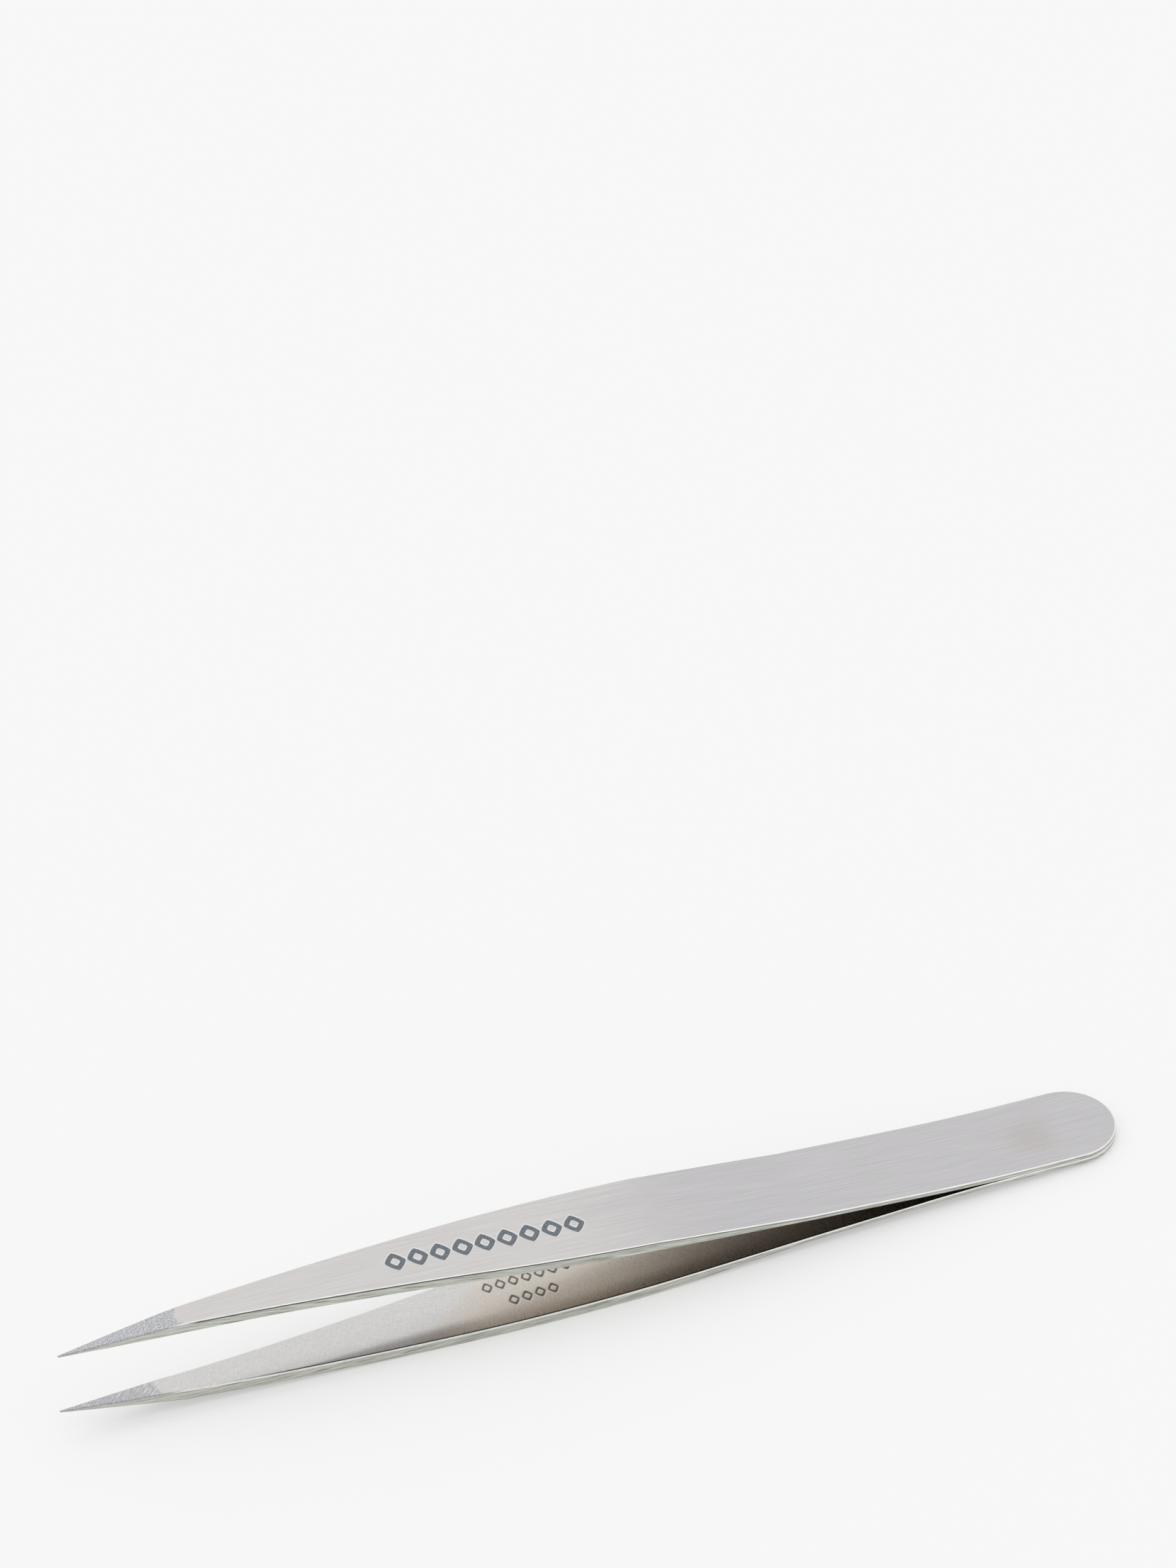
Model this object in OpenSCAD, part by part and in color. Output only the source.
// Fine-point precision tweezers: two bowed spring-steel arms, welded face to face at the tail.
//
// The arms are drawn about the plane between them (z = 0), with the tail end at x = 0 and the
// points at x = -length. The last step, lay_on_table(), tips the whole tool on to the surface that
// it lies on, so that z = 0 is that surface and x = 0 is the middle of the length.
//
// Each arm is one strip of steel that bends in its thin rear stretch. Rigid bodies can't bend, so
// the strip is cut there, at flex_at, into a tail piece and a blade that turns about the cut.

/* [Overall] */
// Length from the tail end to the points
length = 110; // [92:1:140]
// Width of the strip behind its taper
arm_w = 9.8; // [8:0.1:13]
// Width of each point
point_w = 0.14; // [0.1:0.02:1]

/* [Thickness] */
// Thickness of the blade, where the fingers hold it
arm_t = 1.25; // [0.9:0.05:1.8]
// Thickness of the thin rear stretch that bends
spring_t = 0.55; // [0.5:0.05:0.85]
// Thickness of each point
point_t = 0.16; // [0.1:0.02:0.5]
// Length of the thin rear stretch, from the tail end
spring_len = 34; // [31:1:38]
// Length over which the thin stretch thickens into the blade
thicken_len = 16; // [8:1:20]

/* [Bow of the arms] */
// Length over which the arms lie face to face at the tail
weld_len = 10; // [8:0.5:13]
// Length of the bend in front of the weld
tail_bend_len = 12; // [8:1:14]
// Slope of each arm away from the middle plane, in degrees
splay = 3.55; // [2.5:0.05:5]
// Length over which each arm bows back
bow_len = 40; // [25:1:45]
// Slope of each point back to the middle plane, in degrees
toe_in = 1.15; // [0:0.05:2]
// Length of the straight nose behind each point
nose_len = 8; // [4:1:12]

/* [Plan outline] */
// Slope of each side at the point, in degrees
point_taper = 6.55; // [5.5:0.05:10]
// Length over which that slope eases into the long taper
point_taper_len = 10; // [4:1:15]
// Slope of each side of the long taper, in degrees
taper = 5.05; // [4.5:0.05:5.5]
// Radius that blends the long taper into the parallel sides
shoulder_r = 265; // [100:1:300]

/* [Ground point] */
// Length of the facet ground on the outer face of each point
facet_len = 12.5; // [8:0.5:16]

/* [Flexure] */
// Distance from the tail end to the line that each blade turns about
flex_at = 24; // [20:1:30]
// Gap in the strip at that line
flex_gap = 0.03; // [0.02:0.01:0.06]
// Gap left between the points when they are squeezed together
closed_gap = 0.02; // [0:0.01:0.1]
// How far the arms are squeezed, from 0 at rest to 1 with the points together
squeeze = 0; // [0:0.05:1]

/* [Welds] */
// Diameter of each weld nugget
nugget_d = 2.8; // [1.5:0.1:3.5]
// Height of each nugget across the joint
nugget_h = 0.6; // [0.3:0.05:0.8]
// Distance between the two nuggets
nugget_pitch = 4; // [3.6:0.1:4.4]

/* [Rest] */
// Depth of the flat on the back of each arm, which the tool lies on
rest_depth = 0.02; // [0.01:0.01:0.05]

/* [Hidden] */

steel = [0.80, 0.79, 0.78];
weld_steel = [0.62, 0.60, 0.58];
arc_steps = 10;
margin = 1;
tail_steps = 24;
nugget_fn = 48;

// Where the stretches of the arm meet, measured from the tail end
bend_end = weld_len + tail_bend_len;
nose_start = length - nose_len;
bow_start = nose_start - bow_len;
blade_start = spring_len + thicken_len;
facet_start = length - facet_len;

// [distance from the tail end, slope of the inner face]
BOW = [
    [0, 0],
    [weld_len, 0],
    [bend_end, tan(splay)],
    [bow_start, tan(splay)],
    [nose_start, -tan(toe_in)],
    [length, -tan(toe_in)]
];

// [distance from the tail end, thickness]
THICKNESS = [
    [0, spring_t],
    [spring_len, spring_t],
    [blade_start, arm_t],
    [facet_start, arm_t],
    [length, point_t]
];

// [distance from the point, slope of the side in plan]. The long taper is as long as it takes to
// bring the side out to half the width at the end of the shoulder.
taper_slope = tan(taper);
shoulder_len = taper_slope * shoulder_r;
point_gain = point_taper_len * (tan(point_taper) + taper_slope) / 2;
shoulder_gain = shoulder_len * taper_slope / 2;
taper_len = ((arm_w - point_w) / 2 - point_gain - shoulder_gain) / taper_slope;
taper_end = point_taper_len + taper_len;
shoulder_end = taper_end + shoulder_len;
OUTLINE = [
    [0, tan(point_taper)],
    [point_taper_len, taper_slope],
    [taper_end, taper_slope],
    [shoulder_end, 0],
    [length, 0]
];

// Area under a table of slopes, from its first station to s: how far the face or side has moved
function travel(table, s, i = 0) =
    i >= len(table) - 1 || s <= table[i][0] ? 0 :
    let (from = table[i][0], to = min(s, table[i + 1][0]))
    (to - from) * (lookup(from, table) + lookup(to, table)) / 2 + travel(table, s, i + 1);

// Distance of an arm's inner and outer face from the middle plane, s from the tail end
function inner_z(s) = travel(BOW, s);
function outer_z(s) = inner_z(s) + lookup(s, THICKNESS);

// Half the width of an arm, s from the tail end
function half_width(s) = point_w / 2 + travel(OUTLINE, length - s);

// Numbers in rising order, each once
function sorted(v) =
    len(v) == 0 ? [] :
    let (pivot = v[floor(len(v) / 2)])
    concat(sorted([for (x = v) if (x < pivot) x]), [pivot], sorted([for (x = v) if (x > pivot) x]));

// Evenly spaced stations along a curved stretch
function along(from, to) = [for (i = [0:arc_steps]) from + (to - from) * i / arc_steps];

// Stations that a side view needs between two distances from the tail end
function side_stations(from, to) = sorted([
    from,
    to,
    for (s = concat(along(weld_len, bend_end), along(bow_start, nose_start)))
        if (s > from && s < to) s,
    for (row = THICKNESS)
        if (row[0] > from && row[0] < to) row[0]
]);

// Stations that the plan needs, as distances from the point
plan_stations = sorted(concat(along(0, point_taper_len), along(taper_end, shoulder_end)));

// The tool lies on its tail end and on the flat on the back of its lower arm. The table is the
// steepest line from the tail end that cuts no deeper than rest_depth into that arm.
rest_tilt = max([
    for (s = side_stations(weld_len, length)) atan((outer_z(s) - rest_depth - spring_t) / s)
]);
middle_x = (length * cos(rest_tilt) + (outer_z(length) - spring_t) * sin(rest_tilt)) / 2;

// The line that a blade turns about runs through the middle of the strip's thickness. Squeezed
// home, the blade's inner edge at the point has turned down to half the closed gap.
flex_z = inner_z(flex_at) + spring_t / 2;
point_reach = norm([length - flex_at, inner_z(length) - flex_z]);
point_rise = atan2(inner_z(length) - flex_z, length - flex_at);
closing_angle = point_rise + asin((flex_z - closed_gap / 2) / point_reach);

module lay_on_table() {
    translate([middle_x, 0, spring_t * cos(rest_tilt)])
        rotate([0, rest_tilt, 0])
            children();
}

// Side view of the upper arm between two distances from the tail end, carried across the width
module side_view(from, to) {
    stations = side_stations(from, to);
    last = len(stations) - 1;
    rotate([90, 0, 0])
        linear_extrude(arm_w + 2 * margin, center = true)
            polygon(concat(
                [for (s = stations) [-s, inner_z(s)]],
                [for (i = [last:-1:0]) [-stations[i], outer_z(stations[i])]]
            ));
}

// Outline of an arm seen from above: rounded tail, parallel sides, taper to the point
module plan_view() {
    tail_r = arm_w / 2;
    last = len(plan_stations) - 1;
    polygon(concat(
        [for (d = plan_stations) [d - length, half_width(length - d)]],
        [for (i = [0:tail_steps]) let (a = 90 - 180 * i / tail_steps) tail_r * [cos(a) - 1, sin(a)]],
        [for (i = [last:-1:0]) [plan_stations[i] - length, -half_width(length - plan_stations[i])]]
    ));
}

// A stretch of the upper arm
module arm(from, to) {
    intersection() {
        side_view(from, to);
        linear_extrude(length, center = true) plan_view();
    }
}

// The space under the surface that the back of the upper arm would lie on
module resting_space() {
    translate([0, 0, spring_t])
        rotate([0, rest_tilt, 0])
            translate([-length - margin, -arm_w, -2 * arm_w])
                cube([length + margin, 2 * arm_w, 2 * arm_w]);
}

module nuggets() {
    for (end = [-1, 1])
        translate([-(weld_len + end * nugget_pitch) / 2, 0, 0])
            cylinder(d = nugget_d, h = nugget_h, center = true, $fn = nugget_fn);
}

// Rear of an arm, welded to its twin over weld_len
module tail() {
    difference() {
        arm(0, flex_at - flex_gap / 2);
        nuggets();
    }
}

// Front of an arm, from the flexure to the point
module blade() {
    translate([-flex_at, 0, flex_z])
        rotate([0, -squeeze * closing_angle, 0])
            translate([flex_at, 0, -flex_z])
                intersection() {
                    arm(flex_at + flex_gap / 2, length);
                    resting_space();
                }
}

module upper_tail() {
    color(steel) lay_on_table() tail();
}

module lower_tail() {
    color(steel) lay_on_table() mirror([0, 0, 1]) tail();
}

module weld_nuggets() {
    color(weld_steel) lay_on_table() nuggets();
}

module upper_blade() {
    color(steel) lay_on_table() blade();
}

module lower_blade() {
    color(steel) lay_on_table() mirror([0, 0, 1]) blade();
}

upper_tail();
lower_tail();
weld_nuggets();
upper_blade();
lower_blade();
